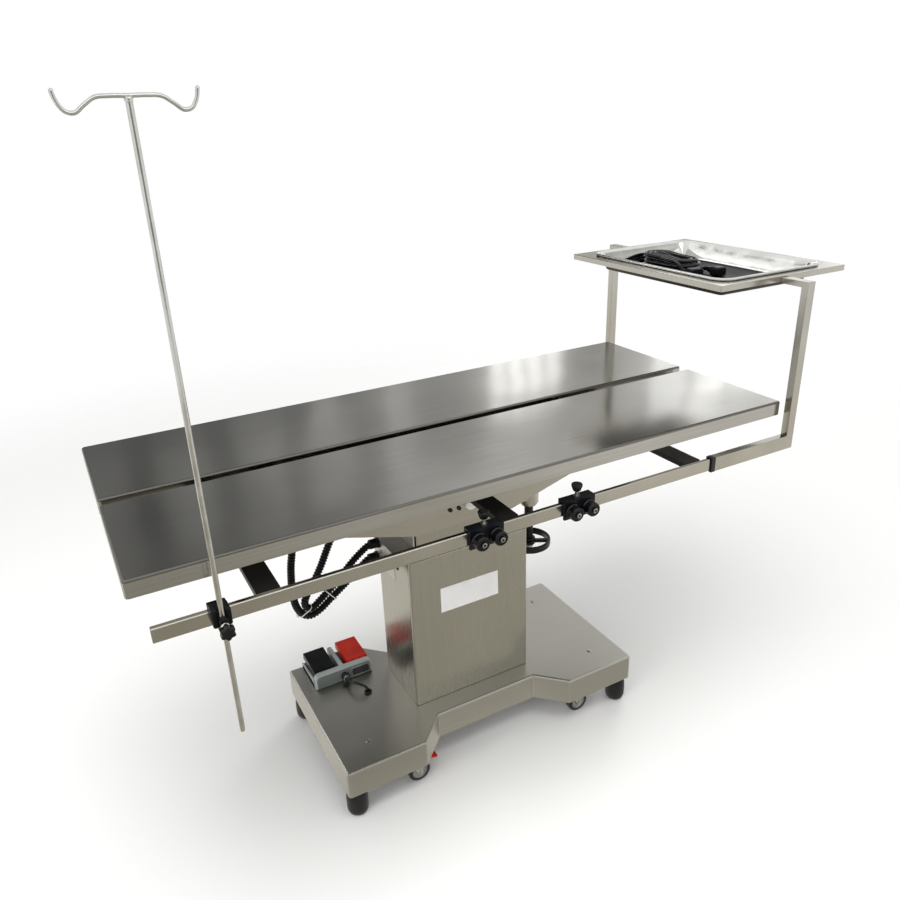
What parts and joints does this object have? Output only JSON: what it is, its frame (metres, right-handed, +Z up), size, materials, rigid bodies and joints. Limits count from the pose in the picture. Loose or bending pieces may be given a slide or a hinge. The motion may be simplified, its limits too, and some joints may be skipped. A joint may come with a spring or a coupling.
{
  "type": "operating table",
  "caption": "Operating table with a hinged two-panel V top on a tilting, lifting column, an H base with castors, foot switch, side rails, drip pole, leash clamps and instrument tray.",
  "frame": {"origin": "on the floor, under the middle of the table's box, with the lead in the tray left out", "axes": "+X along the top towards the tray, +Y towards the foot switch's side, +Z up"},
  "size_m": [1.501, 0.653, 1.3445],
  "materials": {
    "stainless": "brushed",
    "steel": "satin",
    "chrome": "polished",
    "dark_steel": "plain",
    "black_paint": "satin",
    "grey_paint": "satin",
    "black_plastic": "matte",
    "black_rubber": "matte",
    "red_plastic": "gloss"
  },
  "bodies": {
    "table": {"base_cover": "stainless", "base_plate": "dark_steel", "column_cover": "stainless", "lift_actuator": "dark_steel", "switch_housing": "grey_paint", "switch_lead": "black_rubber", "foot_1": "black_rubber", "foot_2": "black_rubber", "foot_3": "black_rubber", "foot_4": "black_rubber"},
    "lift": {"lift_column": "stainless", "lift_rod": "chrome", "head_plate": "grey_paint", "tilt_nut_housing": "grey_paint", "hose_a": "black_plastic", "hose_b": "black_plastic"},
    "tilt": {"hull": "stainless", "under_frame": "black_paint", "tilt_pin": "steel", "rail_front": "steel", "rail_back": "steel", "hinge_pin_front": "steel", "hinge_pin_back": "steel"},
    "yoke": {"screw_yoke": "black_paint"},
    "screw": {"tilt_screw": "black_paint", "handwheel": "black_plastic"},
    "front": {"panel_front": "stainless", "carrier_front": "steel"},
    "back": {"panel_back": "stainless", "carrier_back": "steel"},
    "tray_holder": {"tray_post_front": "steel", "tray_post_back": "steel", "tray_frame": "steel"},
    "tray": {"tray": "stainless", "mains_lead": "black_plastic", "mains_plug": "black_plastic", "appliance_connector": "black_plastic"},
    "iv_clamp": {"iv_clamp": "black_plastic"},
    "iv_pole": {"iv_pole": "chrome"},
    "iv_knob": {"iv_knob": "black_plastic"},
    "leash_1": {"leash_clamp_1": "black_paint"},
    "leash_2": {"leash_clamp_2": "black_paint"},
    "thumb_1": {"leash_thumb_1": "black_plastic"},
    "thumb_2": {"leash_thumb_2": "black_plastic"},
    "pedal_raise": {"pedal_raise": "black_plastic"},
    "pedal_lower": {"pedal_lower": "red_plastic"},
    "roller_1": {"leash_roller_1": "black_rubber"},
    "caster_1": {"caster_fork_1": "chrome"},
    "wheel_1": {"caster_wheel_1": "black_rubber"},
    "roller_2": {"leash_roller_2": "black_rubber"},
    "caster_2": {"caster_fork_2": "chrome"},
    "wheel_2": {"caster_wheel_2": "black_rubber"},
    "roller_3": {"leash_roller_3": "black_rubber"},
    "caster_3": {"caster_fork_3": "chrome"},
    "wheel_3": {"caster_wheel_3": "black_rubber"},
    "roller_4": {"leash_roller_4": "black_rubber"},
    "caster_4": {"caster_fork_4": "chrome"},
    "wheel_4": {"caster_wheel_4": "black_rubber"},
    "brake_1": {"caster_brake_1": "red_plastic"},
    "brake_2": {"caster_brake_2": "red_plastic"}
  },
  "joints": [
    {"name": "lift", "type": "slide", "parent": "table", "child": "lift", "axis": [0, 0, 1], "range_m": [0, 0.27]},
    {"name": "tilt", "type": "hinge", "parent": "lift", "child": "tilt", "pos_m": [-0.0885, 0.0255, 0.585], "axis": [0, 1, 0], "range_deg": [-12, 12], "deforming": ["hose_a", "hose_b"]},
    {"name": "yoke_swing", "type": "hinge", "parent": "tilt", "child": "yoke", "pos_m": [0.1095, 0.0255, 0.585], "axis": [0, 1, 0], "range_deg": [-12.5, 12.5]},
    {"name": "screw_turn", "type": "hinge", "parent": "yoke", "child": "screw", "pos_m": [0.1095, 0.0255, 0.572], "axis": [0, 0, 1], "range_deg": [-940, 940]},
    {"name": "front_panel", "type": "hinge", "parent": "tilt", "child": "front", "pos_m": [-0.1005, 0.0085, 0.702], "axis": [-1, 0, 0], "range_deg": [0, 20]},
    {"name": "back_panel", "type": "hinge", "parent": "tilt", "child": "back", "pos_m": [-0.1005, 0.0425, 0.702], "axis": [1, 0, 0], "range_deg": [0, 20]},
    {"name": "tray_holder_slide", "type": "slide", "parent": "tilt", "child": "tray_holder", "axis": [1, 0, 0], "range_m": [-0.008, 0.1]},
    {"name": "tray_lift", "type": "slide", "parent": "tray_holder", "child": "tray", "axis": [0, 0, 1], "range_m": [0, 0.15]},
    {"name": "iv_clamp_slide", "type": "slide", "parent": "tilt", "child": "iv_clamp", "axis": [1, 0, 0], "range_m": [-0.06, 0.035]},
    {"name": "iv_pole_slide", "type": "slide", "parent": "iv_clamp", "child": "iv_pole", "axis": [0, 0, 1], "range_m": [-0.3, 0.17]},
    {"name": "iv_knob_turn", "type": "hinge", "parent": "iv_clamp", "child": "iv_knob", "pos_m": [-0.6325, -0.306, 0.642], "axis": [0, -1, 0], "range_deg": [0, 360]},
    {"name": "leash_1_slide", "type": "slide", "parent": "tilt", "child": "leash_1", "axis": [1, 0, 0], "range_m": [-0.3, 0]},
    {"name": "leash_2_slide", "type": "slide", "parent": "tilt", "child": "leash_2", "axis": [1, 0, 0], "range_m": [-0.08, 0.22]},
    {"name": "thumb_1_turn", "type": "hinge", "parent": "leash_1", "child": "thumb_1", "pos_m": [-0.1795, -0.2675, 0.667], "axis": [0, 0, 1], "range_deg": [0, 360]},
    {"name": "thumb_2_turn", "type": "hinge", "parent": "leash_2", "child": "thumb_2", "pos_m": [0.0165, -0.2675, 0.667], "axis": [0, 0, 1], "range_deg": [0, 360]},
    {"name": "roller_1_turn", "type": "hinge", "parent": "leash_1", "child": "roller_1", "pos_m": [-0.1975, -0.2791, 0.638], "axis": [0, 1, 0], "continuous": true},
    {"name": "roller_2_turn", "type": "hinge", "parent": "leash_1", "child": "roller_2", "pos_m": [-0.1615, -0.2791, 0.638], "axis": [0, 1, 0], "continuous": true},
    {"name": "roller_3_turn", "type": "hinge", "parent": "leash_2", "child": "roller_3", "pos_m": [-0.0015, -0.2791, 0.638], "axis": [0, 1, 0], "continuous": true},
    {"name": "roller_4_turn", "type": "hinge", "parent": "leash_2", "child": "roller_4", "pos_m": [0.0345, -0.2791, 0.638], "axis": [0, 1, 0], "continuous": true},
    {"name": "pedal_raise_press", "type": "hinge", "parent": "table", "child": "pedal_raise", "pos_m": [-0.335, 0.1315, 0.1463], "axis": [-1, 0, 0], "range_deg": [0, 8], "stiffness_Nm_per_rad": 3, "springref_deg": -8.59},
    {"name": "pedal_lower_press", "type": "hinge", "parent": "table", "child": "pedal_lower", "pos_m": [-0.335, 0.1315, 0.1463], "axis": [-1, 0, 0], "range_deg": [0, 8], "stiffness_Nm_per_rad": 3, "springref_deg": -8.59},
    {"name": "caster_1_swivel", "type": "hinge", "parent": "table", "child": "caster_1", "pos_m": [-0.2875, -0.1245, 0.1094], "axis": [0, 0, 1], "continuous": true},
    {"name": "wheel_1_roll", "type": "hinge", "parent": "caster_1", "child": "wheel_1", "pos_m": [-0.2695, -0.1245, 0.028], "axis": [0, 1, 0], "continuous": true},
    {"name": "brake_1_press", "type": "hinge", "parent": "caster_1", "child": "brake_1", "pos_m": [-0.2685, -0.1245, 0.066], "axis": [0, 1, 0], "range_deg": [0, 10]},
    {"name": "caster_2_swivel", "type": "hinge", "parent": "table", "child": "caster_2", "pos_m": [0.1265, -0.1245, 0.1094], "axis": [0, 0, 1], "continuous": true},
    {"name": "wheel_2_roll", "type": "hinge", "parent": "caster_2", "child": "wheel_2", "pos_m": [0.1445, -0.1245, 0.028], "axis": [0, 1, 0], "continuous": true},
    {"name": "brake_2_press", "type": "hinge", "parent": "caster_2", "child": "brake_2", "pos_m": [0.1455, -0.1245, 0.066], "axis": [0, 1, 0], "range_deg": [0, 10]},
    {"name": "caster_3_swivel", "type": "hinge", "parent": "table", "child": "caster_3", "pos_m": [-0.2875, 0.1755, 0.1094], "axis": [0, 0, 1], "continuous": true},
    {"name": "wheel_3_roll", "type": "hinge", "parent": "caster_3", "child": "wheel_3", "pos_m": [-0.2695, 0.1755, 0.028], "axis": [0, 1, 0], "continuous": true},
    {"name": "caster_4_swivel", "type": "hinge", "parent": "table", "child": "caster_4", "pos_m": [0.1265, 0.1755, 0.1094], "axis": [0, 0, 1], "continuous": true},
    {"name": "wheel_4_roll", "type": "hinge", "parent": "caster_4", "child": "wheel_4", "pos_m": [0.1445, 0.1755, 0.028], "axis": [0, 1, 0], "continuous": true}
  ],
  "couplings": [
    {"joint": "yoke_swing", "follows": "tilt", "ratio": -1},
    {"joint": "screw_turn", "follows": "tilt", "ratio": 77.754}
  ]
}
